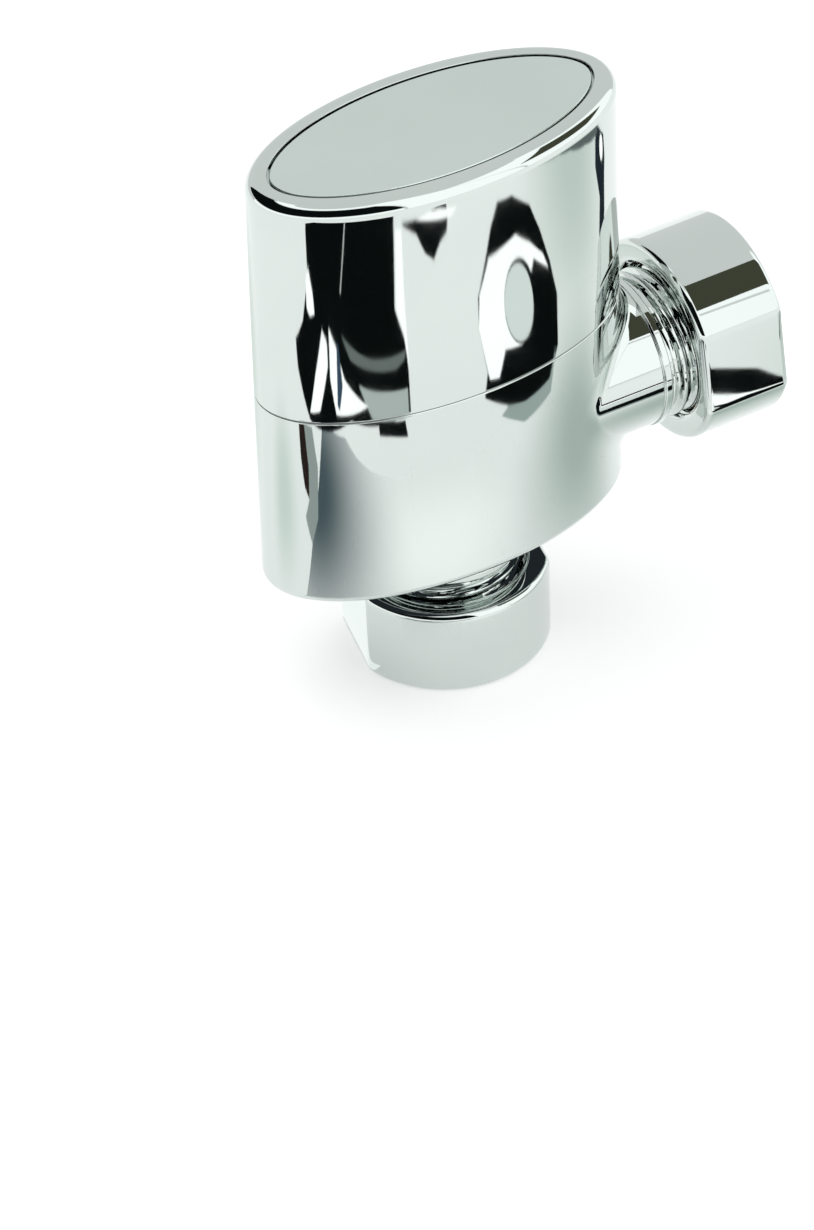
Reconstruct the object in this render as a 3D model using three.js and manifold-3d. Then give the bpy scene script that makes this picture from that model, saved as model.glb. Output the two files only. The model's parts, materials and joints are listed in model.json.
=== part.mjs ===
// Oval thermostatic radiator valve, angle pattern, with two 15 mm compression ends.
// Units are millimetres. +Z runs up the valve spindle, +X along the side branch.
// The origin is the centre of the bottom compression nut's outer face.

import * as THREE from 'three';
import { mergeVertices } from 'three/addons/utils/BufferGeometryUtils.js';
import Module from 'manifold-3d';

const wasm = await Module();
wasm.setup();

// ---------------------------------------------------------------- driving dimensions

const OVAL_A = 25; // half length of the oval body and cap
const OVAL_B = 12.5; // half width of the oval body and cap
const BODY_BASE = 17.2; // underside of the oval body
const SPLIT = 45.5; // joint between the fixed body and the turning cap
const TOP = 77.7; // top of the cap's rim
const GAP = 0.3; // clearance between neighbouring pieces
const SIDE_AXIS = 32.1; // height of the side branch's axis
const SIDE_FACE = 43; // outer face of the side nut, from the spindle

const PIPE_R = 7.65; // hole for a 15 mm pipe
const SOCKET_R = 7.75; // pipe socket inside the body
const THREAD_R = 9.5; // male thread, drawn plain inside the nut's clearance
const NECK_R = 9.7; // plain neck between thread and body
const THREAD_START = 8.5; // end of the male thread, from the nut's outer face
const SOCKET_DEPTH = 17; // pipe stop, from the nut's outer face

const NUT_LENGTH = 12;
const NUT_R = 13.2;
const NUT_FLAT = 12; // half of the 24 mm across flats
const NUT_THREAD_R = 9.8;
const BOTTOM_NUT_TURN = -12.5; // degrees, from the nut's own +X to where a flat looks
const SIDE_NUT_TURN = 98.5;

const OLIVE_BACK = 3.4; // where the olive starts, from the nut's outer face
const OLIVE_LENGTH = 5;

const CHAMBER_R = 9.5; // valve chamber around the spindle
const CHAMBER_FLOOR = 24;
const SEAT_TOP = 25;
const SEAT_R = 5;
const SPINDLE_R = 1.5;
const SPINDLE_HOLE_R = 1.8;

const RECESS_FLOOR = 43; // shallow recess that takes the head's base plate
const FLANGE_TOP = 43.6; // top of the bonnet's flange
const SCREW_X = -19; // fixing screw of the head, under the body
const PILLAR_R = 3;

const WALL = 1.6; // wall of the cap
const CEILING = 75.4; // inside of the cap's roof
const PANEL_INSET = 2.7; // rim around the top panel
const PANEL_DEPTH = 1.1;

const SLEEVE_IN = 7.9; // fixed threaded sleeve of the head
const SLEEVE_OUT = 8.8;
const SLEEVE_TOP = 67;
const CARRIER_IN = 9.1; // threaded ring that rides on the sleeve
const CARRIER_OUT = 10.3;
const CARRIER_PLATE = 60;
const POST_X = 16.5; // screws that hold the threaded ring in the cap

const ROUND = 56; // sides of the nuts
const FINE = 40; // sides of the large round pieces
const MEDIUM = 24;
const SMALL = 16;

// ---------------------------------------------------------------- finishes

const finish = (color, roughness, metalness) => ({ color, roughness, metalness });
const CHROME = finish(0xd9dedb, 0.06, 1);
const SATIN = finish(0xb9bfbd, 0.3, 1);
const BRASS = finish(0xc9a55c, 0.35, 1);
const COPPER = finish(0xb5673f, 0.35, 1);
const STEEL = finish(0x9a9c9e, 0.3, 1);
const RUBBER = finish(0x1c1c1d, 0.8, 0);
const PLASTIC = finish(0x4a4d50, 0.55, 0);

// ---------------------------------------------------------------- solids

// Turns a closed three.js geometry into a manifold with its faces outward.
function solid(geometry) {
  geometry.deleteAttribute('normal');
  geometry.deleteAttribute('uv');
  const merged = mergeVertices(geometry, 1e-4);
  const points = merged.attributes.position.array;
  const source = merged.index.array;
  const kept = [];
  for (let i = 0; i < source.length; i += 3) {
    const [a, b, c] = [source[i], source[i + 1], source[i + 2]];
    if (a !== b && b !== c && c !== a) kept.push(a, b, c);
  }
  const triangles = new Uint32Array(kept);
  if (signedVolume(points, triangles) < 0) {
    for (let i = 0; i < triangles.length; i += 3) {
      [triangles[i], triangles[i + 1]] = [triangles[i + 1], triangles[i]];
    }
  }
  const mesh = new wasm.Mesh({ numProp: 3, vertProperties: points, triVerts: triangles });
  return new wasm.Manifold(mesh);
}

function signedVolume(points, triangles) {
  const corner = (i) => new THREE.Vector3().fromArray(points, 3 * triangles[i]);
  let volume = 0;
  for (let i = 0; i < triangles.length; i += 3) {
    volume += corner(i).dot(corner(i + 1).cross(corner(i + 2)));
  }
  return volume;
}

// Turns a profile of [radius, height] points about Z; it closes on itself.
function turned(profile, sides = MEDIUM) {
  const points = profile.map(([r, z]) => new THREE.Vector2(r, z));
  points.push(points[0].clone());
  return solid(new THREE.LatheGeometry(points, sides).rotateX(Math.PI / 2));
}

function cylinder(radius, low, high, sides = MEDIUM) {
  return turned([[0, low], [radius, low], [radius, high], [0, high]], sides);
}

function tube(inner, outer, low, high, sides = MEDIUM) {
  return turned([[inner, low], [outer, low], [outer, high], [inner, high]], sides);
}

function torus(ringRadius, wireRadius, height) {
  const geometry = new THREE.TorusGeometry(ringRadius, wireRadius, 6, SMALL);
  return solid(geometry.translate(0, 0, height));
}

// An upright prism on the oval outline moved inward, with optional bevelled ends.
function oval(inset, low, high, edge = 0) {
  const shape = new THREE.Shape();
  shape.absellipse(0, 0, OVAL_A - inset, OVAL_B - inset, 0, 2 * Math.PI);
  const bevel = { bevelEnabled: edge > 0, bevelThickness: edge, bevelSize: edge, bevelOffset: -edge };
  const depth = high - low - 2 * edge;
  const options = { depth, curveSegments: 24, bevelSegments: 3, ...bevel };
  return solid(new THREE.ExtrudeGeometry(shape, options).translate(0, 0, low + edge));
}

function block(center, size) {
  return solid(new THREE.BoxGeometry(...size).translate(...center));
}

function hexagon(acrossFlats, low, high) {
  const radius = acrossFlats / Math.sqrt(3);
  const geometry = new THREE.CylinderGeometry(radius, radius, high - low, 6);
  return solid(geometry.rotateX(Math.PI / 2).translate(0, 0, (low + high) / 2));
}

// A closed coil spring about Z, of round wire.
class Helix extends THREE.Curve {
  constructor(radius, low, high, turns) {
    super();
    Object.assign(this, { radius, low, high, turns });
  }

  getPoint(t) {
    const angle = 2 * Math.PI * this.turns * t;
    const height = this.low + (this.high - this.low) * t;
    return new THREE.Vector3(this.radius * Math.cos(angle), this.radius * Math.sin(angle), height);
  }
}

function spring(radius, wire, low, high, turns) {
  const section = new THREE.Shape().absarc(0, 0, wire, 0, 2 * Math.PI);
  const path = new Helix(radius, low + wire, high - wire, turns);
  const options = { steps: Math.round(turns * 12), extrudePath: path, curveSegments: 2 };
  return solid(new THREE.ExtrudeGeometry(section, options));
}

// Moves a solid built about Z, with its outer face at z = 0 and the body above it,
// to the side branch, where that face looks along +X.
function onSideBranch(body) {
  const matrix = new THREE.Matrix4().set(
    0, 0, -1, SIDE_FACE,
    0, -1, 0, 0,
    -1, 0, 0, SIDE_AXIS,
    0, 0, 0, 1,
  );
  return body.transform(matrix.toArray());
}

// ---------------------------------------------------------------- scene graph

const valve = new THREE.Group();

function place(name, body, look) {
  const { vertProperties, triVerts } = body.getMesh();
  const geometry = new THREE.BufferGeometry();
  geometry.setAttribute('position', new THREE.BufferAttribute(vertProperties, 3));
  geometry.setIndex(new THREE.BufferAttribute(triVerts, 1));
  geometry.computeVertexNormals();
  const mesh = new THREE.Mesh(geometry, new THREE.MeshStandardMaterial(look));
  mesh.name = name;
  valve.add(mesh);
}

// ---------------------------------------------------------------- compression ends

// Male end of a compression fitting: thread, neck and filleted root, from the nut inward.
function maleEnd(rootHeight, endHeight, fillet) {
  const profile = [[0, THREAD_START], [THREAD_R - 0.3, THREAD_START], [THREAD_R, THREAD_START + 0.5]];
  profile.push([THREAD_R, rootHeight - 2.6], [NECK_R, rootHeight - 2.6]);
  for (let step = 0; step <= 3; step += 1) {
    const angle = (step / 3) * (Math.PI / 2);
    const out = fillet * (1 - Math.cos(angle));
    profile.push([NECK_R + out, rootHeight - fillet + fillet * Math.sin(angle)]);
  }
  profile.push([NECK_R + fillet, endHeight], [0, endHeight]);
  return turned(profile, FINE);
}

// Pipe socket with the cone that the olive is pressed into.
function socket() {
  const mouth = THREAD_START - 1;
  const coneEnd = THREAD_START + 2.4;
  const profile = [[0, mouth], [SOCKET_R + 1.6, mouth], [SOCKET_R, coneEnd]];
  profile.push([SOCKET_R, SOCKET_DEPTH], [0, SOCKET_DEPTH]);
  return turned(profile, FINE);
}

// Round nut with rounded ends and two spanner flats; turn sets where the flats look.
function compressionNut(turn) {
  const barrel = turned([
    [0, 0], [NUT_R - 0.9, 0], [NUT_R - 0.45, 0.12], [NUT_R - 0.12, 0.45], [NUT_R, 0.9],
    [NUT_R, NUT_LENGTH - 0.9], [NUT_R - 0.12, NUT_LENGTH - 0.45], [NUT_R - 0.45, NUT_LENGTH - 0.12],
    [NUT_R - 0.9, NUT_LENGTH], [0, NUT_LENGTH],
  ], ROUND);
  const flats = block([0, 0, NUT_LENGTH / 2], [2 * NUT_FLAT, 4 * NUT_R, 2 * NUT_LENGTH]);
  const bore = turned([
    [0, -1], [PIPE_R, -1], [PIPE_R, 2.8], [PIPE_R + 1.5, 4], [NUT_THREAD_R, 4.4],
    [NUT_THREAD_R, NUT_LENGTH - 0.6], [NUT_THREAD_R + 0.6, NUT_LENGTH],
    [NUT_THREAD_R + 0.6, NUT_LENGTH + 1], [0, NUT_LENGTH + 1],
  ], FINE);
  return barrel.intersect(flats.rotate([0, 0, turn])).subtract(bore);
}

// Barrel-shaped copper ring that the nut squeezes onto the pipe.
function olive() {
  const back = OLIVE_BACK;
  const front = OLIVE_BACK + OLIVE_LENGTH;
  const middle = (back + front) / 2;
  return turned([
    [PIPE_R, back], [PIPE_R + 0.45, back], [PIPE_R + 1, middle - 1], [PIPE_R + 1, middle + 0.4],
    [PIPE_R + 0.2, front], [PIPE_R, front],
  ], MEDIUM);
}

// ---------------------------------------------------------------- fixed body

function valveBody() {
  const edge = 1.3;
  const casting = oval(0, BODY_BASE, SPLIT + 6, edge)
    .subtract(block([0, 0, SPLIT + 10], [4 * OVAL_A, 4 * OVAL_A, 20]))
    .add(maleEnd(BODY_BASE, BODY_BASE + 3, 1.6))
    .add(onSideBranch(maleEnd(BODY_BASE + 0.6, SIDE_FACE - CHAMBER_R, 0.2)));
  const waterway = cylinder(5.5, SOCKET_DEPTH - 1, CHAMBER_FLOOR, MEDIUM);
  const sideWaterway = cylinder(6, SOCKET_DEPTH - 1, SIDE_FACE - 2, MEDIUM);
  const recess = oval(2.4, RECESS_FLOOR, SPLIT + 1);
  return casting
    .subtract(socket())
    .subtract(onSideBranch(socket()))
    .subtract(waterway)
    .subtract(onSideBranch(sideWaterway))
    .subtract(cylinder(SEAT_R + 2.5, CHAMBER_FLOOR - 1.4, CHAMBER_FLOOR + 1))
    .subtract(cylinder(CHAMBER_R, CHAMBER_FLOOR, RECESS_FLOOR + 1, FINE))
    .subtract(recess)
    .subtract(cylinder(PILLAR_R + GAP, BODY_BASE + 6, RECESS_FLOOR + 1, SMALL).translate([SCREW_X, 0, 0]))
    .subtract(cylinder(2.7, BODY_BASE - 1, BODY_BASE + 7, SMALL).translate([SCREW_X, 0, 0]));
}

function seatRing() {
  return turned([
    [SEAT_R, CHAMBER_FLOOR - 1.1], [SEAT_R + 2.2, CHAMBER_FLOOR - 1.1], [SEAT_R + 2.2, SEAT_TOP - 0.4],
    [SEAT_R + 1.2, SEAT_TOP], [SEAT_R + 0.5, SEAT_TOP], [SEAT_R, SEAT_TOP - 0.4],
  ]);
}

// Bonnet that closes the chamber and guides the spindle.
function insertHousing() {
  const outer = CHAMBER_R - GAP;
  return turned([
    [SPINDLE_HOLE_R, 41], [5.8, 41], [5.8, 38.7], [outer, 38.7], [outer, 40], [outer - 1.3, 40],
    [outer - 1.3, 41.8], [outer, 41.8], [outer, FLANGE_TOP], [6.5, FLANGE_TOP], [6.5, 49.5], [3.6, 49.5],
    [3.6, 45.3], [SPINDLE_HOLE_R, 45.3],
  ]);
}

function glandNut() {
  return hexagon(9, 49.8, 51.8)
    .add(cylinder(3.3, 47.6, 50, SMALL))
    .subtract(cylinder(SPINDLE_HOLE_R, 47, 53, SMALL));
}

// Oval base plate of the head, with its threaded sleeve and its fixing pillar.
function headBase() {
  const plate = oval(2.4 + GAP, RECESS_FLOOR + GAP, SPLIT - 0.4)
    .add(tube(SLEEVE_IN, SLEEVE_OUT, SPLIT - 1, SLEEVE_TOP, FINE))
    .add(cylinder(PILLAR_R, BODY_BASE + 6.6, RECESS_FLOOR + 1, SMALL).translate([SCREW_X, 0, 0]));
  const groove = tube(SLEEVE_OUT - 0.3, SLEEVE_OUT + 1, 65.3, 66.3, FINE);
  return plate
    .subtract(cylinder(6.8, RECESS_FLOOR - 1, SPLIT + 1, MEDIUM))
    .subtract(cylinder(CHAMBER_R + GAP / 2, RECESS_FLOOR - 1, FLANGE_TOP + GAP, MEDIUM))
    .subtract(cylinder(1.9, BODY_BASE + 6, BODY_BASE + 15, SMALL).translate([SCREW_X, 0, 0]))
    .subtract(groove);
}

// Socket screw that draws the head's pillar down, with its hexagon hole below.
function headBaseScrew() {
  const head = cylinder(2.35, BODY_BASE + 0.7, BODY_BASE + 6.4, SMALL);
  const shank = cylinder(1.6, BODY_BASE + 6, BODY_BASE + 13.5, SMALL);
  const key = hexagon(2.5, BODY_BASE, BODY_BASE + 3.4);
  return head.add(shank).subtract(key).translate([SCREW_X, 0, 0]);
}

// Snap ring on the sleeve that stops the cap at the top of its travel.
function travelRing() {
  const slot = block([0, -9, 65.8], [3, 6, 3]);
  return tube(SLEEVE_OUT - 0.1, 9.9, 65.5, 66.1, FINE).subtract(slot);
}

// ---------------------------------------------------------------- turning cap

function capShell() {
  const edge = 1.8;
  const low = SPLIT + GAP;
  const outside = oval(0, low - 4, TOP, edge)
    .subtract(block([0, 0, low - 5], [4 * OVAL_A, 4 * OVAL_A, 10]));
  const inside = oval(WALL, low - 1, CEILING);
  const panelSeat = oval(PANEL_INSET, TOP - PANEL_DEPTH - GAP, TOP + 1);
  let shell = outside.subtract(inside).subtract(panelSeat);
  for (const side of [-1, 1]) {
    const post = tube(1.5, 2.9, CARRIER_PLATE + 3.3, CEILING + 0.5, SMALL);
    shell = shell.add(post.translate([side * POST_X, 0, 0]));
  }
  return shell;
}

function topPanel() {
  return oval(PANEL_INSET + GAP, TOP - PANEL_DEPTH, TOP - 0.05);
}

// Threaded ring with ears, screwed to the cap, that climbs the fixed sleeve.
function threadedCarrier() {
  let plate = oval(WALL + 0.9, CARRIER_PLATE, CARRIER_PLATE + 3)
    .add(cylinder(CARRIER_OUT, 50, CARRIER_PLATE + 1, FINE))
    .subtract(cylinder(CARRIER_IN, 49, CARRIER_PLATE + 4, FINE));
  for (const side of [-1, 1]) {
    plate = plate.subtract(cylinder(1.6, 59, CARRIER_PLATE + 4, SMALL).translate([side * POST_X, 0, 0]));
  }
  return plate;
}

function carrierScrew(side) {
  const head = turned([
    [0, 58.2], [1.2, 57.6], [2.4, 57.9], [2.6, 58.6], [2.6, CARRIER_PLATE - GAP], [0, CARRIER_PLATE - GAP],
  ], SMALL);
  const shank = cylinder(1.2, CARRIER_PLATE - 1, 70, SMALL);
  const drive = block([0, 0, 57.6], [0.7, 3.6, 1.6]);
  return head.add(shank).subtract(drive).translate([side * POST_X, 0, 0]);
}

// ---------------------------------------------------------------- sensor

function sensorCapsule() {
  return turned([
    [2.1, 55], [3.8, 55], [3.8, 57], [5.8, 57], [6.6, 57.8], [6.6, 67.2], [5.9, 67.9], [0, 67.9],
    [0, 60.2], [2.1, 60.2],
  ]);
}

function sensorCup() {
  const foot = 58;
  return turned([
    [6.9, foot], [SLEEVE_IN - GAP, foot], [SLEEVE_IN - GAP, 69.2], [3, 69.2], [3, 70.6], [0, 70.6],
    [0, 68.2], [6.9, 68.2],
  ]);
}

function thrustWasher() {
  return tube(2.5, 7.2, 74.3, 75.1);
}

// ---------------------------------------------------------------- spindle and disc

function sensorPlunger() {
  return turned([
    [0, 53.6], [1.2, 53.6], [1.7, 54], [1.7, 59.3], [1.2, 59.9], [0, 59.9],
  ], SMALL);
}

function spindle() {
  return turned([
    [0, 23.4], [SPINDLE_R, 23.4], [SPINDLE_R, 37.4], [1.2, 37.4], [1.2, 38.4], [SPINDLE_R, 38.4],
    [SPINDLE_R, 52.8], [1, 53.3], [0, 53.3],
  ], SMALL);
}

function spindleClip() {
  return tube(1.5, 3.2, 37.6, 38.2, SMALL).subtract(block([3, 0, 38], [5, 1.6, 2]));
}

function discHolder() {
  return turned([
    [SPINDLE_HOLE_R, 28.6], [6.9, 28.6], [6.9, 27.4], [7.6, 27.4], [7.6, 30.2], [7.2, 30.6], [3.2, 30.6],
    [3.2, 33], [SPINDLE_HOLE_R, 33],
  ]);
}

function discWasher() {
  return tube(SPINDLE_HOLE_R, 6.6, 26.3, 28.3);
}

function discNut() {
  return hexagon(5.5, 23.9, 26).subtract(cylinder(SPINDLE_HOLE_R, 23, 27, SMALL));
}

// ---------------------------------------------------------------- assembly

place('valve_body', valveBody(), CHROME);
place('seat_ring', seatRing(), STEEL);
place('insert_housing', insertHousing(), BRASS);
place('insert_o_ring', torus(8.6, 0.55, 40.9), RUBBER);
place('gland_nut', glandNut(), BRASS);
place('gland_o_ring', torus(2.65, 0.6, 46.2), RUBBER);
place('head_base', headBase(), PLASTIC);
place('head_base_screw', headBaseScrew(), STEEL);
place('travel_ring', travelRing(), STEEL);
place('return_spring', spring(4.7, 0.4, 30.9, 40.7, 5), STEEL);

place('bottom_nut', compressionNut(BOTTOM_NUT_TURN), CHROME);
place('bottom_olive', olive(), COPPER);
place('side_nut', onSideBranch(compressionNut(SIDE_NUT_TURN)), CHROME);
place('side_olive', onSideBranch(olive()), COPPER);

place('cap_shell', capShell(), CHROME);
place('top_panel', topPanel(), SATIN);
place('threaded_carrier', threadedCarrier(), BRASS);
place('carrier_screw_left', carrierScrew(-1), STEEL);
place('carrier_screw_right', carrierScrew(1), STEEL);

place('sensor_capsule', sensorCapsule(), BRASS);
place('sensor_cup', sensorCup(), PLASTIC);
place('overrun_spring', spring(5.6, 0.45, 69.5, 74, 3), STEEL);
place('thrust_washer', thrustWasher(), PLASTIC);

place('sensor_plunger', sensorPlunger(), STEEL);
place('spindle', spindle(), STEEL);
place('spindle_clip', spindleClip(), STEEL);
place('disc_holder', discHolder(), BRASS);
place('disc_washer', discWasher(), RUBBER);
place('disc_nut', discNut(), BRASS);

export default valve;
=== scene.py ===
"""Studio scene of an oval chrome thermostatic radiator valve with two compression ends.

Outlines are worked out in millimetres in the CAD frame (+Z up the spindle, +X along the side
branch, origin in the bottom nut's outer face) and turned into metres when a mesh is made.
"""

import json
import math

import bpy
import numpy as np
from mathutils import Matrix, Vector


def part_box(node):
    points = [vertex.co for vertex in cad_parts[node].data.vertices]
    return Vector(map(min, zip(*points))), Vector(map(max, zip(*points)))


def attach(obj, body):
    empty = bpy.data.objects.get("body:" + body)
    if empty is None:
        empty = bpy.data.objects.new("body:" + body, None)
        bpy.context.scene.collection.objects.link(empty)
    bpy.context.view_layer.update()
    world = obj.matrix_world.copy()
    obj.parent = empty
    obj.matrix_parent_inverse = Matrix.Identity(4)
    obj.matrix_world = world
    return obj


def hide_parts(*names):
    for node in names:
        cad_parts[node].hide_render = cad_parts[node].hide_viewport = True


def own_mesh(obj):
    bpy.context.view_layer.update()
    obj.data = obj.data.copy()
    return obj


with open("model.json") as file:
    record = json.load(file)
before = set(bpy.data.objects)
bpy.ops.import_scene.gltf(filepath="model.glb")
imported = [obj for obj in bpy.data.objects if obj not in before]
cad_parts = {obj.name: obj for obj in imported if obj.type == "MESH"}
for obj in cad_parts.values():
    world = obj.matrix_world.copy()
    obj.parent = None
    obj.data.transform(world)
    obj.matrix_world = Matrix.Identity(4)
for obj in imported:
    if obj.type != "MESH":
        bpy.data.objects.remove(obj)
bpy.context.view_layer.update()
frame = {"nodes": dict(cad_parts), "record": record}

MM = 0.001
TAU = 2 * math.pi

# ------------------------------------------------------------------ driving dimensions, mm


def box_mm(node):
    low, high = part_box(node)
    return np.array(low) / MM, np.array(high) / MM


cap_low, cap_high = box_mm("cap_shell")
panel_low, panel_high = box_mm("top_panel")
body_low, body_high = box_mm("valve_body")
nut_low, nut_high = box_mm("bottom_nut")
side_low, side_high = box_mm("side_nut")
olive_low, olive_high = box_mm("bottom_olive")
screw_low, screw_high = box_mm("head_base_screw")

OVAL_A = cap_high[0]  # half length and half width of the oval
OVAL_B = cap_high[1]
TOP = cap_high[2]
CAP_BOTTOM = cap_low[2]
SPLIT = body_high[2]
BASE = 17.2  # underside of the oval body
WALL = 1.6
LIP = 0.22  # how far the cap's lip closes the clearance at the split
CEILING = TOP - 2.3
PANEL_SEAT = 2.7  # width of the rim round the top panel
PANEL_INSET = OVAL_B - panel_high[1]
SEAT_FLOOR = panel_low[2] - 0.3
POST_BORE = 1.5  # the two posts inside the cap that take the carrier screws
POST_R = 2.9
POST_END = 63.3
RECESS_INSET = 2.4
RECESS_FLOOR = SPLIT - 2.5
RIM_ROUND = 1.8
BASE_ROUND = 1.3

NUT_LENGTH = nut_high[2] - nut_low[2]
NUT_R = 13.2
NUT_FLAT = 12.0  # half of the 24 mm across flats
NUT_EDGE = 0.9
NUT_SIDES = 480
NUT_SOFTNESS = 0.09  # of the edges between flat and round, from polishing
BOTTOM_NUT_TURN = math.radians(-12.5)  # where a flat looks, from the nut's own +X
SIDE_NUT_TURN = math.radians(98.5)
SIDE_FACE = side_high[0]
SIDE_AXIS = (side_low[2] + side_high[2]) / 2
PIPE_R = 7.65
THREAD_PITCH = 1.814  # 14 turns to the inch
THREAD_CREST = 9.6
THREAD_DEPTH = 0.75
THREAD_END = body_low[2]
NECK_R = 9.7
SOCKET_R = 7.75
SOCKET_DEPTH = 17.0
CHAMBER_R = 9.5
CHAMBER_FLOOR = 24.0
SEAT_BORE_R = 7.5
PORT_R = 5.5
SIDE_PORT_R = 6.0
END_SIDES = 256
SCREW_X = (screw_low[0] + screw_high[0]) / 2

CAMERA_AZIMUTH = -29.8
CAMERA_ELEVATION = 39.5
CAMERA_ROLL = 1.9
CAMERA_DISTANCE = 1137.0  # along the view, to the middle of the oval's underside
CAMERA_RIGHT = 4.47  # that point lies this far right of the view's middle, and this far above it
CAMERA_UP = 12.05
CAMERA_LENS = 268.3

# ------------------------------------------------------------------ mesh helpers


def new_object(name, points, faces, materials=(), face_material=None, crease=32):
    """A smooth-shaded mesh from points in mm; edges sharper than crease degrees stay sharp."""
    mesh = bpy.data.meshes.new(name)
    mesh.from_pydata((np.asarray(points) * MM).tolist(), [], faces)
    mesh.validate()
    for material in materials:
        mesh.materials.append(material)
    if face_material is not None:
        mesh.polygons.foreach_set("material_index", face_material)
    obj = bpy.data.objects.new(name, mesh)
    bpy.context.scene.collection.objects.link(obj)
    shade(mesh, crease)
    return obj


def shade(mesh, crease=32):
    mesh.polygons.foreach_set("use_smooth", [True] * len(mesh.polygons))
    mesh.set_sharp_from_angle(angle=math.radians(crease))


def skin(rings, loop):
    """Points and faces of a solid through rings of equal length; loop joins the last to the first."""
    rings = np.asarray(rings, float)
    count, sides = rings.shape[:2]
    faces = []
    for i in range(count if loop else count - 1):
        j = (i + 1) % count
        for k in range(sides):
            m = (k + 1) % sides
            faces.append((i * sides + k, i * sides + m, j * sides + m, j * sides + k))
    if not loop:
        faces.append(tuple(reversed(range(sides))))
        faces.append(tuple(range((count - 1) * sides, count * sides)))
    points = rings.reshape(-1, 3)
    if signed_volume(points, faces) < 0:
        faces = [tuple(reversed(face)) for face in faces]
    return points, faces


def signed_volume(points, faces):
    total = 0.0
    for face in faces:
        corner = points[face[0]]
        for b, c in zip(face[1:-1], face[2:]):
            total += float(np.dot(corner, np.cross(points[b], points[c])))
    return total


def softened(corners, steps=6, support=0.05, share=0.45):
    """An open outline of (a, b, radius) corners as points, each corner rounded by its radius.
    A point just before and after each arc keeps the flat stretches flat in the reflections.
    share is how much of a stretch one corner may use."""
    path = []
    for i, (a, b, radius) in enumerate(corners):
        here = np.array([a, b], float)
        if radius <= 0 or i in (0, len(corners) - 1):
            path.append(here)
            continue
        back = np.array(corners[i - 1][:2], float) - here
        ahead = np.array(corners[i + 1][:2], float) - here
        room = share * min(np.linalg.norm(back), np.linalg.norm(ahead))
        back /= np.linalg.norm(back)
        ahead /= np.linalg.norm(ahead)
        half = math.acos(float(np.clip(back @ ahead, -1, 1))) / 2
        reach = min(radius / math.tan(half), room)
        radius = reach * math.tan(half)
        middle = (back + ahead) / np.linalg.norm(back + ahead)
        centre = here + middle * radius / math.sin(half)
        start = here + back * reach - centre
        turn = math.pi - 2 * half
        end = here + ahead * reach - centre
        sign = 1 if start[0] * end[1] - start[1] * end[0] > 0 else -1
        path.append(here + back * (reach + min(support, reach)))
        for step in range(steps + 1):
            angle = sign * turn * step / steps
            c, s = math.cos(angle), math.sin(angle)
            path.append(centre + np.array([c * start[0] - s * start[1], s * start[0] + c * start[1]]))
        path.append(here + ahead * (reach + min(support, reach)))
    return path


def oval_rings(outline, sides=384):
    """Rings round the oval: each outline point is (distance inside the oval, height)."""
    t = np.arange(sides) * TAU / sides
    normal = np.stack([np.cos(t) / OVAL_A, np.sin(t) / OVAL_B], 1)
    normal /= np.linalg.norm(normal, axis=1, keepdims=True)
    edge = np.stack([OVAL_A * np.cos(t), OVAL_B * np.sin(t)], 1)
    rings = []
    for inset, height in outline:
        flat = edge - inset * normal
        rings.append(np.column_stack([flat, np.full(sides, height)]))
    return rings


def round_rings(outline, sides):
    """Rings about Z: each outline point is (radius, height), and a radius may vary round the ring."""
    t = np.arange(sides) * TAU / sides
    rings = []
    for radius, height in outline:
        r = np.broadcast_to(radius, sides)
        rings.append(np.column_stack([r * np.cos(t), r * np.sin(t), np.full(sides, height)]))
    return rings


def to_side(points):
    """From an end built about Z, with its outer face at 0, to the side branch."""
    x, y, z = np.moveaxis(np.asarray(points, float), -1, 0)
    return np.stack([SIDE_FACE - z, -y, SIDE_AXIS - x], -1)


def lathe(name, corners, materials, sides=96, loop=False, side=False, offset=(0, 0, 0), steps=4):
    rings = np.asarray(round_rings(softened(corners, steps), sides))
    if side:
        rings = to_side(rings)
    points, faces = skin(rings + np.array(offset, float), loop)
    return new_object(name, points, faces, materials)


def combine(target, tool, operation):
    """Joins tool to target or cuts it away, and removes tool."""
    modifier = target.modifiers.new("combine", "BOOLEAN")
    modifier.object = tool
    modifier.operation = operation
    modifier.solver = "EXACT"
    modifier.material_mode = "TRANSFER"
    graph = bpy.context.evaluated_depsgraph_get()
    mesh = bpy.data.meshes.new_from_object(target.evaluated_get(graph))
    target.modifiers.clear()
    target.data = mesh
    bpy.data.objects.remove(tool)
    return target


# ------------------------------------------------------------------ materials


def node_material(name):
    material = bpy.data.materials.new(name)
    material.use_nodes = True
    return material, material.node_tree, material.node_tree.nodes["Principled BSDF"]


def noise(tree, scale, detail=4.0, stretch=(1, 1, 1)):
    """Noise in object coordinates, in metres, stretched along the axes."""
    coordinates = tree.nodes.new("ShaderNodeTexCoord")
    mapping = tree.nodes.new("ShaderNodeMapping")
    mapping.inputs["Scale"].default_value = stretch
    texture = tree.nodes.new("ShaderNodeTexNoise")
    texture.inputs["Scale"].default_value = scale
    texture.inputs["Detail"].default_value = detail
    tree.links.new(coordinates.outputs["Object"], mapping.inputs["Vector"])
    tree.links.new(mapping.outputs["Vector"], texture.inputs["Vector"])
    return texture.outputs["Fac"]


def spread(tree, value, low, high):
    """Stretches the middle of a noise over low to high."""
    node = tree.nodes.new("ShaderNodeMapRange")
    node.inputs["From Min"].default_value = 0.3
    node.inputs["From Max"].default_value = 0.7
    node.inputs["To Min"].default_value = low
    node.inputs["To Max"].default_value = high
    tree.links.new(value, node.inputs["Value"])
    return node.outputs["Result"]


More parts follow.
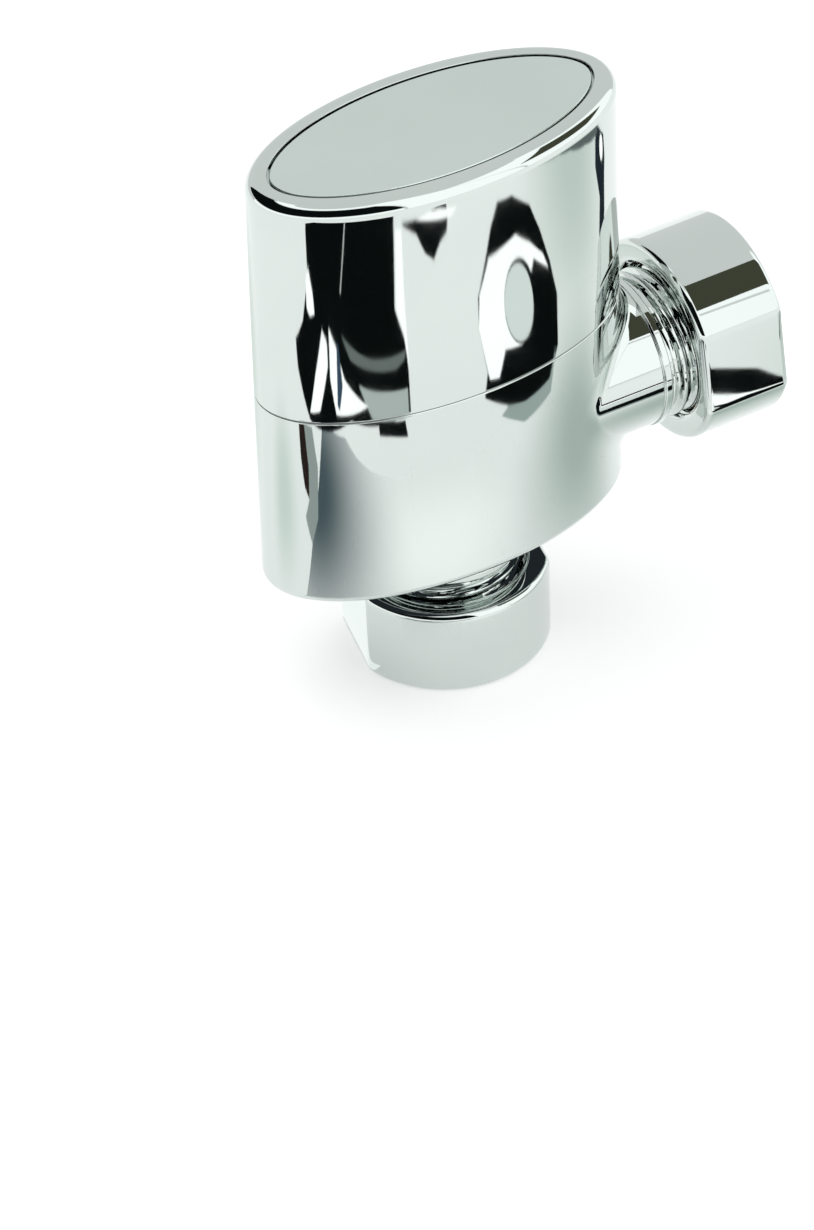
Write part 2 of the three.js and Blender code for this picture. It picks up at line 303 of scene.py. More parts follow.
def tinted(tree, value, first, second):
    """A colour that drifts from first to second with a noise."""
    ramp = tree.nodes.new("ShaderNodeValToRGB")
    ramp.color_ramp.elements[0].position = 0.35
    ramp.color_ramp.elements[1].position = 0.65
    ramp.color_ramp.elements[0].color = (*first, 1)
    ramp.color_ramp.elements[1].color = (*second, 1)
    tree.links.new(value, ramp.inputs["Fac"])
    return ramp.outputs["Color"]


def bump(tree, shader, heights, distance):
    """Chains bumps from (height, strength) pairs into the shader's normal."""
    normal = None
    for height, strength in heights:
        node = tree.nodes.new("ShaderNodeBump")
        node.inputs["Strength"].default_value = strength
        node.inputs["Distance"].default_value = distance
        tree.links.new(height, node.inputs["Height"])
        if normal is not None:
            tree.links.new(normal, node.inputs["Normal"])
        normal = node.outputs["Normal"]
    tree.links.new(normal, shader.inputs["Normal"])


def metal(name, colours, roughness, grain, grain_strength, stretch=(1, 1, 1), patches=60, wave=0.0):
    """A metal whose colour drifts between two tones, with uneven gloss and a fine grain."""
    material, tree, shader = node_material(name)
    shader.inputs["Metallic"].default_value = 1.0
    drift = noise(tree, patches)
    tree.links.new(tinted(tree, drift, *colours), shader.inputs["Base Color"])
    gloss = spread(tree, noise(tree, patches * 4, 6.0, stretch), *roughness)
    tree.links.new(gloss, shader.inputs["Roughness"])
    heights = [(noise(tree, grain, 3.0, stretch), grain_strength)]
    if wave:
        heights.append((noise(tree, 110, 1.0), wave))
    bump(tree, shader, heights, 0.00002)
    return material


def rubber_like(name, colours, roughness, grain, strength):
    material, tree, shader = node_material(name)
    tree.links.new(tinted(tree, noise(tree, 300), *colours), shader.inputs["Base Color"])
    tree.links.new(spread(tree, noise(tree, 900), *roughness), shader.inputs["Roughness"])
    bump(tree, shader, [(noise(tree, grain, 5.0), strength)], 0.00004)
    return material


CHROME = metal("polished_chrome", ((0.605, 0.65, 0.63), (0.628, 0.67, 0.65)),
               (0.018, 0.04), 9000, 0.015, wave=0.05)
SATIN = metal("satin_chrome", ((0.62, 0.69, 0.66), (0.645, 0.71, 0.685)),
              (0.2, 0.27), 14000, 0.12, (1, 3, 1))
BRASS = metal("machined_brass", ((0.62, 0.42, 0.16), (0.71, 0.51, 0.23)),
              (0.2, 0.34), 5000, 0.15, (1, 1, 6))
COPPER = metal("bright_copper", ((0.46, 0.17, 0.085), (0.68, 0.30, 0.17)),
               (0.18, 0.36), 4000, 0.2, patches=260)
STEEL = metal("machined_steel", ((0.42, 0.43, 0.44), (0.52, 0.53, 0.54)),
              (0.18, 0.32), 6000, 0.15, (1, 1, 5), patches=200)
RUBBER = rubber_like("black_rubber", ((0.018, 0.018, 0.019), (0.035, 0.035, 0.036)),
                     (0.6, 0.8), 5000, 0.3)
PLASTIC = rubber_like("moulded_plastic", ((0.055, 0.058, 0.062), (0.075, 0.079, 0.083)),
                      (0.38, 0.5), 7000, 0.15)
LOOKS = {"chrome": CHROME, "satin_chrome": SATIN, "brass": BRASS, "copper": COPPER,
         "steel": STEEL, "rubber": RUBBER, "plastic": PLASTIC}

# ------------------------------------------------------------------ head


def cap_shell():
    """The turning cap: rim, panel seat, bottom lip and inner wall, with two screw posts."""
    outline = softened([
        (PANEL_SEAT, SEAT_FLOOR, 0), (PANEL_SEAT, TOP, 0.12), (0, TOP, RIM_ROUND),
        (0, CAP_BOTTOM - LIP, 0.16), (WALL, CAP_BOTTOM - LIP, 0.1), (WALL, CEILING, 0),
    ], steps=16, share=0.92)
    points, faces = skin(oval_rings(outline), loop=False)
    cap = new_object("cap_chrome", points, faces, [CHROME])
    for node in ("carrier_screw_left", "carrier_screw_right"):
        low, high = box_mm(node)
        x = (low[0] + high[0]) / 2
        post = lathe("post", [
            (POST_BORE, CEILING + 0.4, 0), (POST_BORE, POST_END, 0.1), (POST_R, POST_END, 0.2),
            (POST_R, CEILING + 0.4, 0)], [CHROME], sides=48, loop=True, offset=(x, 0, 0))
        combine(cap, post, "UNION")
    shade(cap.data)
    return finish_piece(cap, "cap", "chrome", "cap_shell")


def finish_piece(obj, body, slot, *nodes):
    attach(obj, body)
    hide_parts(*nodes)
    return obj


def top_panel():
    outline = softened([
        (PANEL_INSET, panel_low[2], 0), (PANEL_INSET, panel_high[2], 0.22),
        (PANEL_INSET + 3, panel_high[2], 0),
    ], steps=6)
    points, faces = skin(oval_rings(outline), loop=False)
    return finish_piece(new_object("top_panel_satin", points, faces, [SATIN]), "cap",
                        "satin_chrome", "top_panel")


# ------------------------------------------------------------------ compression ends


def thread_wave(turn, height):
    """0 at a thread's root and 1 at its crest, with flattened crests and roots."""
    flatness = 1.9
    wave = np.cos(TAU * (height / THREAD_PITCH - turn / TAU))
    return 0.5 + 0.5 * np.tanh(flatness * wave) / math.tanh(flatness)


def nut_radius(turn):
    """Distance from the axis to a round nut with two flats, over the angles in turn from a flat;
    the smaller of the two distances, blended a little where they cross."""
    flat = NUT_FLAT / np.maximum(np.abs(np.cos(turn)), 0.3)
    nearer = np.exp(-flat / NUT_SOFTNESS) + math.exp(-NUT_R / NUT_SOFTNESS)
    return -NUT_SOFTNESS * np.log(nearer)


def nut_outline(turn):
    """Rings of the nut: outer face, rounded edge, side, rounded edge, inner face and bore. Also
    how many of them are plated; the rest of the bore is bare brass."""
    t = np.arange(NUT_SIDES) * TAU / NUT_SIDES
    side = nut_radius(t - turn)
    outline = [(PIPE_R + inset, 0) for inset in (0.35, 1.2, 2.6)]
    quarter = [math.pi / 2 * step / 8 for step in range(9)]
    for angle in quarter:
        outline.append((side - NUT_EDGE * (1 - math.sin(angle)), NUT_EDGE * (1 - math.cos(angle))))
    outline.append((side, NUT_EDGE + 0.06))
    outline.append((side, NUT_LENGTH - NUT_EDGE - 0.06))
    for angle in reversed(quarter):
        height = NUT_LENGTH - NUT_EDGE * (1 - math.cos(angle))
        outline.append((side - NUT_EDGE * (1 - math.sin(angle)), height))
    outline.append((THREAD_CREST + 1.4, NUT_LENGTH))
    outline.append((THREAD_CREST + 1.0, NUT_LENGTH))
    outline.append((THREAD_CREST + 0.9, NUT_LENGTH - 0.06))
    plated = len(outline) + 16
    for height in np.arange(NUT_LENGTH - 0.15, 4.6, -THREAD_PITCH / 10):
        lead = min(1.0, (height - 4.6) / 1.2)
        chamfer = max(0.0, 0.7 - (NUT_LENGTH - height))
        groove = 0.55 * lead * thread_wave(t, height)
        radius = np.maximum(THREAD_CREST + 0.15 + groove, THREAD_CREST + 0.2 + chamfer)
        outline.append((radius, height))
    for r, height in ((THREAD_CREST + 0.2, 4.5), (THREAD_CREST - 0.4, 4.2), (PIPE_R + 1.5, 4.0),
                      (PIPE_R + 0.06, 2.85), (PIPE_R, 2.75), (PIPE_R, 0.4), (PIPE_R + 0.1, 0.1)):
        outline.append((r, height))
    return outline, plated


def nut(name, turn, side, body, node):
    outline, plated = nut_outline(turn)
    rings = np.asarray(round_rings(outline, NUT_SIDES))
    points, faces = skin(to_side(rings) if side else rings, loop=True)
    inner = [1 if i // NUT_SIDES >= plated else 0 for i in range(len(faces))]
    obj = new_object(name, points, faces, [CHROME, BRASS], inner)
    return finish_piece(obj, body, "chrome", node)


def olive(name, side, body, node):
    back, front = olive_low[2], olive_high[2]
    middle = (back + front) / 2
    corners = [(PIPE_R, middle, 0), (PIPE_R, back, 0.1), (PIPE_R + 0.45, back, 0.15),
               (PIPE_R + 1, middle - 1, 0.8), (PIPE_R + 1, middle + 0.4, 0.8),
               (PIPE_R + 0.2, front, 0.08), (PIPE_R, front, 0.08), (PIPE_R, middle + 0.1, 0)]
    obj = lathe(name, corners, [COPPER], sides=192, loop=True, side=side, steps=8)
    return finish_piece(obj, body, "copper", node)


# ------------------------------------------------------------------ valve body


def male_end(root):
    """Outline from the thread's end to the ring under the root, at root mm from the nut's face."""
    t = np.arange(END_SIDES) * TAU / END_SIDES
    ring_low, ring_high = root - 2.75, root - 1.75
    outline = [(0.5, THREAD_END), (9.0, THREAD_END), (9.15, THREAD_END + 0.03)]
    runout = ring_low - 0.55
    for height in np.arange(THREAD_END + 0.25, runout, THREAD_PITCH / 12):
        lead = min(1.0, (height - THREAD_END) / 0.8, (runout - height) / 0.5 + 0.05)
        root_r = THREAD_CREST - THREAD_DEPTH
        outline.append((root_r + THREAD_DEPTH * lead * thread_wave(t, height), height))
    groove = THREAD_CREST - THREAD_DEPTH + 0.05
    ring = softened([
        (groove, runout, 0), (groove, ring_low, 0.12), (NECK_R + 0.18, ring_low, 0.22),
        (NECK_R + 0.18, ring_high, 0.22), (NECK_R - 0.12, ring_high + 0.05, 0.08),
        (NECK_R, ring_high + 0.3, 0.1), (NECK_R, ring_high + 0.45, 0),
    ], steps=5)
    return outline + [tuple(p) for p in ring]


def bottom_end():
    outline = male_end(BASE)
    fillet = 1.3
    for step in range(13):
        angle = math.pi / 2 * step / 12
        radius = NECK_R + fillet * (1 - math.cos(angle))
        outline.append((radius, BASE - 0.01 - fillet * (1 - math.sin(angle))))
    outline += [(NECK_R + fillet, BASE + 1), (0.5, BASE + 1)]
    points, faces = skin(round_rings(outline, END_SIDES), loop=False)
    return new_object("bottom_end", points, faces, [CHROME])


def side_end():
    """The side branch's end: its root flows into the oval wall with a fillet that narrows
    where the branch meets the wall at a shallow angle."""
    root = SIDE_FACE - OVAL_A
    rings = list(to_side(np.asarray(round_rings(male_end(root), END_SIDES))))
    neck = rings[-1]
    across, up = neck[:, 1] / NECK_R, (neck[:, 2] - SIDE_AXIS) / NECK_R
    fillet = 0.9 + 1.6 * up**2

    def wall(radius):
        return OVAL_A * np.sqrt(1 - (radius * across / OVAL_B)**2)

    def ring(x, radius):
        return np.column_stack([x, radius * across, SIDE_AXIS + radius * up])

    end_r = NECK_R + fillet
    end_x = wall(end_r)
    slope = -(OVAL_A**2 / OVAL_B**2) * end_r * across**2 / end_x
    corner_x = end_x - slope * fillet
    start_x = corner_x + fillet
    rings.append(ring(start_x + 0.06, NECK_R))
    for s in np.linspace(0, 1, 15):
        x = (1 - s)**2 * start_x + 2 * s * (1 - s) * corner_x + s**2 * (end_x + 0.003)
        radius = (1 - s)**2 * NECK_R + 2 * s * (1 - s) * NECK_R + s**2 * end_r
        rings.append(ring(x, radius))
    rings.append(ring(end_x - 0.9, end_r))
    rings.append(ring(np.full(len(neck), 6.0), np.full(len(neck), 5.0)))
    points, faces = skin(rings, loop=False)
    return new_object("side_end", points, faces, [CHROME])


def bore(low, steps, **where):
    """A stepped bore from height low: each step is (radius, radius at its end, height of its end)."""
    corners = [(0.05, low, 0)]
    for start, end, high in steps:
        corners += [(start, low, 0), (end, high, 0)]
        low = high
    corners.append((0.05, low, 0))
    return lathe("bore", corners, [BRASS], **where)


def valve_body():
    outline = softened([
        (BASE_ROUND + 3, BASE, 0), (0, BASE, BASE_ROUND), (0, SPLIT, 0.16),
        (RECESS_INSET, SPLIT, 0.15), (RECESS_INSET, RECESS_FLOOR, 0),
    ], steps=12)
    points, faces = skin(oval_rings(outline), loop=False)
    body = new_object("valve_body_chrome", points, faces, [CHROME, BRASS])
    combine(body, bottom_end(), "UNION")
    combine(body, side_end(), "UNION")
    mouth = THREAD_END - 1
    socket = [(SOCKET_R + 1.6, SOCKET_R, THREAD_END + 2.4), (SOCKET_R, SOCKET_R, SOCKET_DEPTH)]
    side_port = (SIDE_PORT_R, SIDE_PORT_R, SIDE_FACE - 5)
    side_bore = bore(mouth, socket + [side_port], side=True, sides=128)
    main_bore = bore(mouth, socket + [
        (PORT_R, PORT_R, CHAMBER_FLOOR - 1.4), (SEAT_BORE_R, SEAT_BORE_R, CHAMBER_FLOOR),
        (CHAMBER_R, CHAMBER_R, RECESS_FLOOR + 1)], sides=128)
    screw_hole = bore(BASE - 1, [(2.7, 2.7, BASE + 6), (3.3, 3.3, RECESS_FLOOR + 1)],
                      offset=(SCREW_X, 0, 0), sides=64)
    for hole in (side_bore, main_bore, screw_hole):
        combine(body, hole, "DIFFERENCE")
    shade(body.data)
    exact_wall_normals(body.data)
    return finish_piece(body, "valve", "chrome", "valve_body")


def exact_wall_normals(mesh):
    """Gives every corner that lies on the oval wall the true normal of the oval, so that the
    side branch's root and cuts leave no ripple in the reflections."""
    points = np.empty(len(mesh.vertices) * 3)
    mesh.vertices.foreach_get("co", points)
    points = points.reshape(-1, 3) / MM
    tolerance = 3e-4
    nearly_facing = 0.97
    on_wall = abs((points[:, 0] / OVAL_A)**2 + (points[:, 1] / OVAL_B)**2 - 1) < tolerance
    on_wall &= (points[:, 2] > BASE + BASE_ROUND - 0.02) & (points[:, 2] < SPLIT - 0.2)
    true = np.column_stack([points[:, 0] / OVAL_A**2, points[:, 1] / OVAL_B**2, np.zeros(len(points))])
    true /= np.maximum(np.linalg.norm(true, axis=1, keepdims=True), 1e-9)
    normals = np.array([n.vector[:] for n in mesh.corner_normals])
    for polygon in mesh.polygons:
        facing = np.array(polygon.normal[:])
        for loop, vertex in zip(polygon.loop_indices, polygon.vertices):
            if on_wall[vertex] and facing @ true[vertex] > nearly_facing:
                normals[loop] = true[vertex]
    mesh.normals_split_custom_set(normals.tolist())


# ------------------------------------------------------------------ pieces seen through the bores


def hexagon_prism(name, across_flats, low, high, material, offset):
    radius = across_flats / math.sqrt(3)
    t = np.arange(6) * TAU / 6
    flat = np.column_stack([radius * np.cos(t), radius * np.sin(t)])
    rings = [np.column_stack([flat, np.full(6, z)]) + np.array(offset, float) for z in (low, high)]
    points, faces = skin(rings, loop=False)
    return new_object(name, points, faces, [material])


def fixing_screw():
    """The hexagon-socket screw under the body's narrow end."""
    low, high = screw_low[2], screw_high[2]
    screw = lathe("fixing_screw", [
        (0.05, low, 0), (2.35, low, 0.3), (2.35, low + 5.5, 0.15), (1.6, low + 5.7, 0.1),
        (1.6, high, 0.2), (0.05, high, 0),
    ], [STEEL], sides=96, offset=(SCREW_X, 0, 0))
    key = hexagon_prism("key", 2.5, low - 1, low + 2.7, STEEL, (SCREW_X, 0, 0))
    combine(screw, key, "DIFFERENCE")
    shade(screw.data)
    return finish_piece(screw, "valve", "steel", "head_base_screw")


def coil(name, radius, wire, low, high, turns, material):
    """A round-wire spring as one closed solid; its end turns lie flat."""
    steps = int(turns * 40)
    rings = []
    for i in range(steps + 1):
        share = i / steps
        angle = TAU * turns * share
        rise = np.clip((share * turns - 0.4) / (turns - 0.8), 0, 1)
        height = low + wire + (high - low - 2 * wire) * rise
        out = np.array([math.cos(angle), math.sin(angle), 0])
        centre = radius * out + np.array([0, 0, height])
        around = np.arange(14) * TAU / 14
        rings.append(centre + wire * (np.cos(around)[:, None] * out + np.sin(around)[:, None] * [0, 0, 1]))
    points, faces = skin(rings, loop=False)
    return new_object(name, points, faces, [material], crease=50)


def springs():
    """The return spring, built at one length though in the valve it shortens as the head rises, and the
    overrun spring.
    """
    low, high = box_mm("return_spring")
    wire = 0.4
    spring = coil("return_spring_wire", high[0] - wire - 0.02, wire, low[2], high[2], 5, STEEL)
    finish_piece(spring, "valve", "steel", "return_spring")
    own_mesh(spring)
    low, high = box_mm("overrun_spring")
    wire = 0.45
    over = coil("overrun_spring_wire", high[0] - wire - 0.02, wire, low[2], high[2], 3, STEEL)
    finish_piece(over, "sensor", "steel", "overrun_spring")


def turned_pieces():
    """Round pieces that show through the two bores: seat, disc and spindle."""
    guide = 1.8
    pieces = [
        ("seat_ring", "valve", STEEL, "steel", [
            (5, 23.5, 0), (5, 22.9, 0.1), (7.2, 22.9, 0.1), (7.2, 24.6, 0.1), (6.2, 25, 0.15),
            (5.5, 25, 0.15), (5, 24.6, 0.1), (5, 23.6, 0)]),
        ("disc_holder", "spindle", BRASS, "brass", [
            (guide, 30, 0), (guide, 28.6, 0), (6.9, 28.6, 0.1), (6.9, 27.4, 0.1), (7.6, 27.4, 0.15),
            (7.6, 30.2, 0.1), (7.2, 30.6, 0.1), (3.2, 30.6, 0.3), (3.2, 33, 0.2), (guide, 33, 0.1),
            (guide, 30.1, 0)]),
        ("disc_washer", "spindle", RUBBER, "rubber", [
            (guide, 27, 0), (guide, 26.3, 0.1), (6.6, 26.3, 0.35), (6.6, 28.3, 0.1), (guide, 28.3, 0.1),
            (guide, 27.1, 0)]),
    ]
    for node, body, material, slot, corners in pieces:
        obj = lathe(node + "_turned", corners, [material], sides=128, loop=True)
        finish_piece(obj, body, slot, node)
    rod = lathe("spindle_turned", [
        (0.05, 23.4, 0), (1.5, 23.4, 0.2), (1.5, 37.4, 0.05), (1.2, 37.4, 0.05), (1.2, 38.4, 0.05),
        (1.5, 38.4, 0.05), (1.5, 52.8, 0.1), (1, 53.3, 0.1), (0.05, 53.3, 0)], [STEEL], sides=64)
    finish_piece(rod, "spindle", "steel", "spindle")


def finish_cad_nodes():
    """The CAD nodes that stay shown take the material of their slot."""
    slots = {part["node"]: part["material_slot"] for part in frame["record"]["subparts"]}
    for name, obj in frame["nodes"].items():
        obj.data.materials.clear()
        obj.data.materials.append(LOOKS[slots[name]])


# ------------------------------------------------------------------ studio

BLACK = (0.004, 0.006, 0.006)
WHITE = (1.6, 1.6, 1.6)
DOME_WHITE = (1.45, 1.47, 1.47)
DOME_CENTRE = Vector((0, 0, 45))


def card(name, outline, height, level, softness=None):
    """A flat card lying at a height in mm, seen only in the reflections; softness as in fade."""
    points = [(x, y, height) for x, y in outline]
    obj = new_object(name, points, [tuple(range(len(points)))])
    glow_material(obj, level, softness)
    stage_card(obj)


def soft_card(name, spread_out, height, level):
    """A card that fades away from its middle: spread_out is (x, y, rx, ry) in mm."""
    x, y, rx, ry = spread_out
    outline = [(x - rx, y - ry), (x + rx, y - ry), (x + rx, y + ry), (x - rx, y + ry)]
    card(name, outline, height, level, spread_out)


def glow_material(obj, level, softness=None):
    """An even glow of one level, whole or fading with distance from a centre."""
    material = bpy.data.materials.new(obj.name)
    material.use_nodes = True
    tree = material.node_tree
    tree.nodes.clear()
    glow = tree.nodes.new("ShaderNodeEmission")
    glow.inputs["Color"].default_value = (*level, 1)
    output = tree.nodes.new("ShaderNodeOutputMaterial")
    if softness is None:
        tree.links.new(glow.outputs["Emission"], output.inputs["Surface"])
    else:
        fade(tree, glow, output, softness)
    obj.data.materials.append(material)


def stage_card(obj):
    obj.visible_camera = False
    obj.visible_diffuse = False
    obj.visible_shadow = False


def fade(tree, glow, output, softness):
    """Lets the card fade into clear air round a middle: softness is (x, y, rx, ry) in mm, the
    middle and how far the fade reaches either way."""
    x, y, across, along = softness
    coordinates = tree.nodes.new("ShaderNodeTexCoord")
    mapping = tree.nodes.new("ShaderNodeMapping")
    mapping.inputs["Location"].default_value = (-x / across, -y / along, 0)
    mapping.inputs["Scale"].default_value = (1 / (across * MM), 1 / (along * MM), 0)
    length = tree.nodes.new("ShaderNodeVectorMath")
    length.operation = "LENGTH"
    strength = tree.nodes.new("ShaderNodeMapRange")
    strength.interpolation_type = "SMOOTHSTEP"
    strength.inputs["From Min"].default_value = 0.1
    strength.inputs["From Max"].default_value = 1.0
    strength.inputs["To Min"].default_value = 1.0
    strength.inputs["To Max"].default_value = 0.0
    clear = tree.nodes.new("ShaderNodeBsdfTransparent")
    mix = tree.nodes.new("ShaderNodeMixShader")
    tree.links.new(coordinates.outputs["Object"], mapping.inputs["Vector"])
    tree.links.new(mapping.outputs["Vector"], length.inputs[0])
    tree.links.new(length.outputs["Value"], strength.inputs["Value"])
    tree.links.new(strength.outputs["Result"], mix.inputs["Fac"])
    tree.links.new(clear.outputs["BSDF"], mix.inputs[1])
    tree.links.new(glow.outputs["Emission"], mix.inputs[2])
    tree.links.new(mix.outputs["Shader"], output.inputs["Surface"])


def disc_outline(x, y, rx, ry, sides=64):
    t = np.arange(sides) * TAU / sides
    return list(zip(x + rx * np.cos(t), y + ry * np.sin(t)))


def studio_cards():
    """Flags and reflectors that lie around the valve and show only in its polish; the dark card under the
    body is painted shade.
    """
    card("black_flag", [(-98, -69), (-90, -63), (-88, -49), (-91, -36), (-85, -35), (-68, -41),
                        (-40, -62), (-7, -69), (-7, -78), (-8, -84), (-14, -91), (-13, -115), (-120, -115)],
         0.4, BLACK)
    card("slit", [(-90, -65), (-82, -65), (-78, -63), (-82, -58), (-86, -56), (-91, -60)], 0.6, WHITE)
    card("grey_arc", [(-53, -76), (-44, -77), (-30, -78.5), (-14, -81), (-8, -82), (-9, -80), (-14, -78),
                      (-30, -76), (-44, -74)], 0.5, (0.2, 0.23, 0.22))
    card("light_step", [(-37, -71), (-20, -73), (-8, -74), (-8, -68), (-27, -66)], 0.5, (0.6, 0.66, 0.64))
    card("left_fan", [(-69.7, -66.3), (-64, -67), (-61, -63), (-62, -50), (-69, -42), (-70, -53)],
         0.6, WHITE)
    card("right_fan", [(-64, -71), (-56, -71), (-47, -68), (-30, -68), (-50, -58), (-58, -62)],
         0.7, WHITE)
    card("blue_line", [(-56, -72), (-54, -72), (-48, -66), (-48, -60), (-50, -60)], 0.8, (0.06, 0.1, 0.16))
    card("white_edge", [(-12, -108), (-7.5, -108), (-7.5, -93), (-6.5, -77), (-9, -86), (-13, -91)],
         0.5, WHITE)
    card("thin_line", [(-56.8, -84), (-56, -84), (-55.6, -106), (-56.6, -106)], 0.6, (0.8, 0.8, 0.8))
    card("small_flag", [(-7, -109.5), (-7, -109), (3, -106), (8, -101), (13, -98.5), (18, -101), (23, -102),
                        (25, -105), (25, -109)], 0.4, BLACK)
    card("small_strip", [(3, -109), (13, -107), (27, -104), (32, -104.5), (20, -108), (13, -109)],
         0.6, WHITE)
    card("ring_dark", [(56, -93), (65, -88), (73, -78), (74, -69), (73, -59), (70, -51), (61, -45),
                       (52, -45), (40, -51), (34, -55), (26, -62), (30, -66), (31, -76), (34, -82),
                       (44, -88), (49, -91)], 0.4, BLACK)
    card("ring_light", [(44, -86), (53, -83), (61, -80), (67, -72), (71, -64), (71, -59), (66, -68),
                        (56, -66), (48, -60), (40, -65), (34, -62), (30, -64), (31, -76), (35, -82)],
         0.5, WHITE)
    card("ring_edge", disc_outline(53.2, -67.6, 9.2, 9.3), 0.6, BLACK)
    card("ring_centre", disc_outline(52.4, -67.7, 8.2, 8.6), 0.7, (0.98, 1.04, 1.02))
    card("shade_flag", [(-60, -50), (-43, -57), (-35, -56), (-26, -55.5), (-12, -56), (-8, -58), (-8, -10),
                        (-40, -10), (-49, -24), (-54, -36)], 0.3, (0.09, 0.13, 0.15), (-54, -36, 46, 44))
    card("ring_foot", [(60, -46), (52, -45), (40, -51), (34, -55), (30, -55), (37, -48), (50, -43)],
         0.5, (0.45, 0.53, 0.51))
    soft_card("right_shade", (50, -27, 36, 27), 0.2, (0.56, 0.65, 0.61))
    soft_card("far_right_shade", (104, -52, 55, 58), 0.1, (0.78, 0.87, 0.82))
    soft_card("left_shade", (-66, 0, 26, 24), 0.2, (0.88, 0.97, 0.93))
    soft_card("back_left_shade", (-12, 70, 45, 45), 0.2, (0.86, 0.94, 0.9))
    soft_card("front_glow", (0, -40, 32, 18), 0.15, (1.35, 1.36, 1.35))
    card("nut_glow", [(-14.6, -4), (-13.3, -3.2), (-10.9, 8), (-7, 12.5), (-8, 28), (-16, 28)],
         0.2, (1.22, 1.25, 1.25))
    card("right_line", [(120, -16), (116, -20), (110, -20), (104, -12), (88, -15), (78, -19), (78, -13),
                        (88, -9), (101, -3), (108, -2), (113, 0), (118, -2)], 0.4, (0.02, 0.03, 0.04))
    card("right_spark", disc_outline(115, -8, 3, 3.5), 0.5, WHITE)
    card("rim_line", [(85, -79), (89, -74), (97, -65), (104, -54), (112, -36), (118, -16), (121, -17),
                      (115, -37), (107, -56), (100, -67), (91, -76), (87, -81)], 0.4, (0.15, 0.18, 0.18))
    card("left_lens", [(-75, -28), (-72, -34), (-62, -32), (-57, -28), (-61, -26), (-68, -26)], 0.6,
         (0.03, 0.02, 0.018))
    card("left_lens_edge", [(-72, -34), (-66, -41), (-57, -39), (-50, -31), (-49, -24), (-56, -23),
                            (-57, -28), (-62, -32)], 0.5, (0.4, 0.45, 0.44))
    card("dark_tab", [(-24, -66), (-10, -67), (-9, -63.5), (-17, -63.5), (-23, -63)], 0.8, BLACK)
    # painted shade: a near-black card just under the body's underside, seen only in reflections, stands in
    # for the shade beneath the body
    card("painted_shade_under_body", disc_outline(0, 0, OVAL_A - 1.2, OVAL_B - 0.8), BASE - 0.3, (0.02, 0.025, 0.03))


def floor():
    size = 4000
    obj = new_object("floor", [(-size, -size, 0), (size, -size, 0), (size, size, 0), (-size, size, 0)],
                     [(0, 1, 2, 3)])
    material, tree, shader = node_material("pale_floor")
    tree.links.new(tinted(tree, noise(tree, 3), (0.84, 0.845, 0.845), (0.86, 0.86, 0.86)),
                   shader.inputs["Base Color"])
    shader.inputs["Emission Color"].default_value = (1, 1, 1, 1)
    shader.inputs["Emission Strength"].default_value = 0.34
    shader.inputs["Roughness"].default_value = 0.7
    shader.inputs["Specular IOR Level"].default_value = 0.1
    obj.data.materials.append(material)
    obj.location.z = -0.00005


def softbox(name, azimuth, elevation, distance, size, power):
    """An area light round the valve, angles as the camera's, distances in mm."""
    data = bpy.data.lights.new(name, "AREA")
    data.shape = "RECTANGLE"
    data.size = size[0] * MM
    data.size_y = size[1] * MM
    data.energy = power
    obj = bpy.data.objects.new(name, data)
    bpy.context.scene.collection.objects.link(obj)
    back = backward(azimuth, elevation)
    obj.location = (DOME_CENTRE + back * distance) * MM
    obj.rotation_mode = "QUATERNION"
    obj.rotation_quaternion = back.to_track_quat("Z", "Y")
    obj.visible_glossy = False


def backward(azimuth, elevation):
    """From the object towards a viewer at this azimuth and elevation in degrees."""
    a, e = math.radians(azimuth), math.radians(elevation)
    return Vector((math.sin(a) * math.cos(e), -math.cos(a) * math.cos(e), math.sin(e)))


def raised_card(name, corners, level):
    """A flat card between points in mm."""
    obj = new_object(name, corners, [tuple(range(len(corners)))])
    glow_material(obj, level)
    stage_card(obj)


def dome_card(name, azimuths, elevations, level):
    """A piece of a dome that stands over the valve, between two azimuths and two elevations."""
    distance = 1400
    steps = 24
    points = []
    for elevation in elevations:
        for azimuth in np.linspace(*azimuths, steps):
            points.append(DOME_CENTRE + backward(azimuth, elevation) * distance)
    faces = [(i, i + 1, steps + i + 1, steps + i) for i in range(steps - 1)]
    obj = new_object(name, points, faces)
    glow_material(obj, level)
    stage_card(obj)


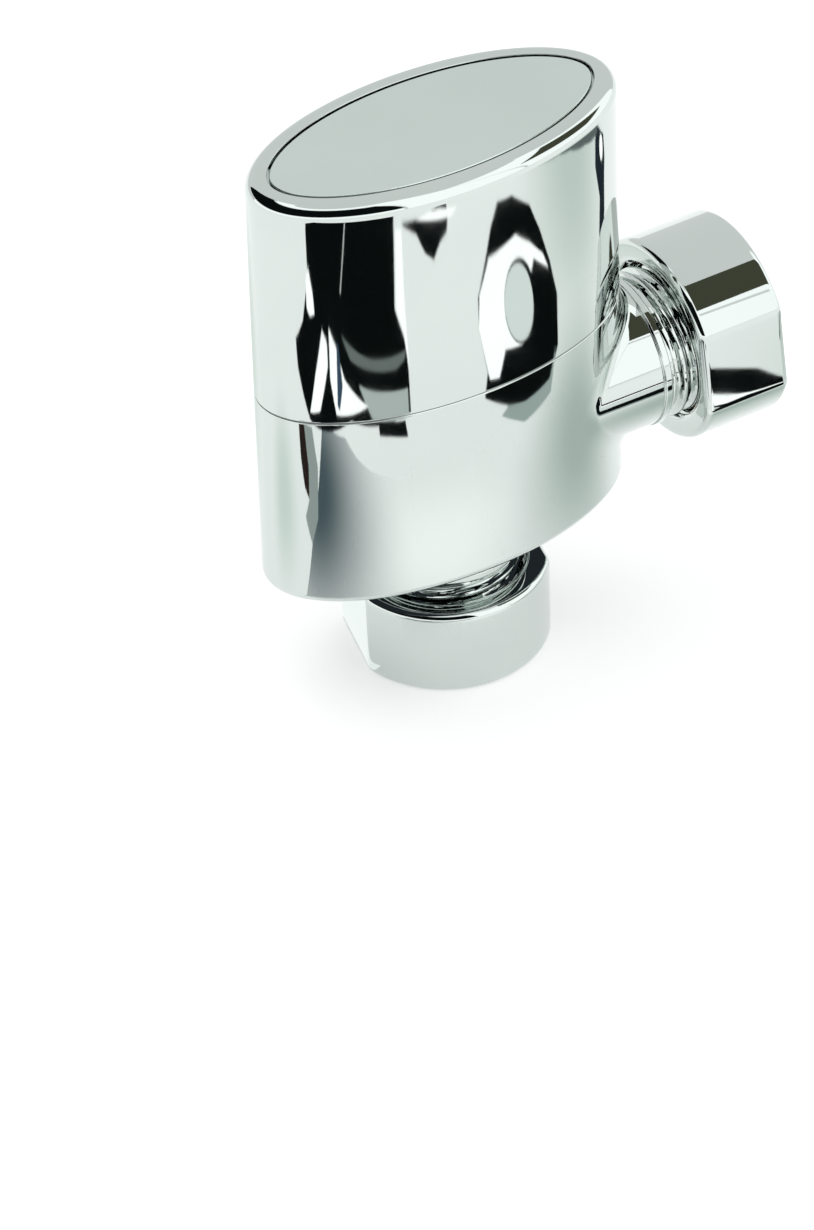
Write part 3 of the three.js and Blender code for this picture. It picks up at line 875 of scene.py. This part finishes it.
def lighting():
    world = bpy.data.worlds.new("studio")
    bpy.context.scene.world = world
    world.use_nodes = True
    background = world.node_tree.nodes["Background"]
    background.inputs["Color"].default_value = (0.96, 0.98, 0.975, 1)
    background.inputs["Strength"].default_value = 0.88
    softbox("key_softbox", -150, 60, 1500, (900, 900), 2.0)
    softbox("back_softbox", 150, 60, 1500, (900, 600), 2.0)
    softbox("front_softbox", 30, 55, 1500, (900, 600), 1.5)
    dome_card("left_dome_flag", (-160, 0), (14, 63), BLACK)
    dome_card("left_low_strip", (-130, 0), (0, 12), DOME_WHITE)
    dome_card("left_high_strip", (-160, 0), (65, 76), DOME_WHITE)
    dome_card("middle_strip", (1, 36), (0, 77), DOME_WHITE)
    dome_card("right_strip", (37, 100), (0, 62), DOME_WHITE)
    raised_card("nut_flag", [(55, -70, 125), (160, -70, 125), (160, -16, 147), (55, -16, 147)],
                (0.07, 0.075, 0.05))
    bpy.context.scene.view_settings.view_transform = "Standard"
    bpy.context.scene.view_settings.look = "None"


def camera():
    data = bpy.data.cameras.new("camera")
    data.lens = CAMERA_LENS
    data.sensor_width = 36
    data.clip_start = 0.05
    data.clip_end = 20
    obj = bpy.data.objects.new("camera", data)
    bpy.context.scene.collection.objects.link(obj)
    back = backward(CAMERA_AZIMUTH, CAMERA_ELEVATION)
    right = Vector((0, 0, 1)).cross(back).normalized()
    up = back.cross(right)
    roll = math.radians(CAMERA_ROLL)
    rolled_right = math.cos(roll) * right - math.sin(roll) * up
    rolled_up = math.sin(roll) * right + math.cos(roll) * up
    target = Vector((0, 0, BASE))
    place = target + back * CAMERA_DISTANCE - rolled_right * CAMERA_RIGHT - rolled_up * CAMERA_UP
    matrix = Matrix((rolled_right, rolled_up, back)).transposed().to_4x4()
    matrix.translation = place * MM
    obj.matrix_world = matrix
    bpy.context.scene.camera = obj


# ------------------------------------------------------------------ build

finish_cad_nodes()
cap_shell()
top_panel()
valve_body()
nut("bottom_nut_chrome", BOTTOM_NUT_TURN, False, "nut_bottom", "bottom_nut")
nut("side_nut_chrome", SIDE_NUT_TURN, True, "nut_side", "side_nut")
olive("bottom_olive_copper", False, "olive_bottom", "bottom_olive")
olive("side_olive_copper", True, "olive_side", "side_olive")
fixing_screw()
springs()
turned_pieces()
floor()
studio_cards()
lighting()
camera()
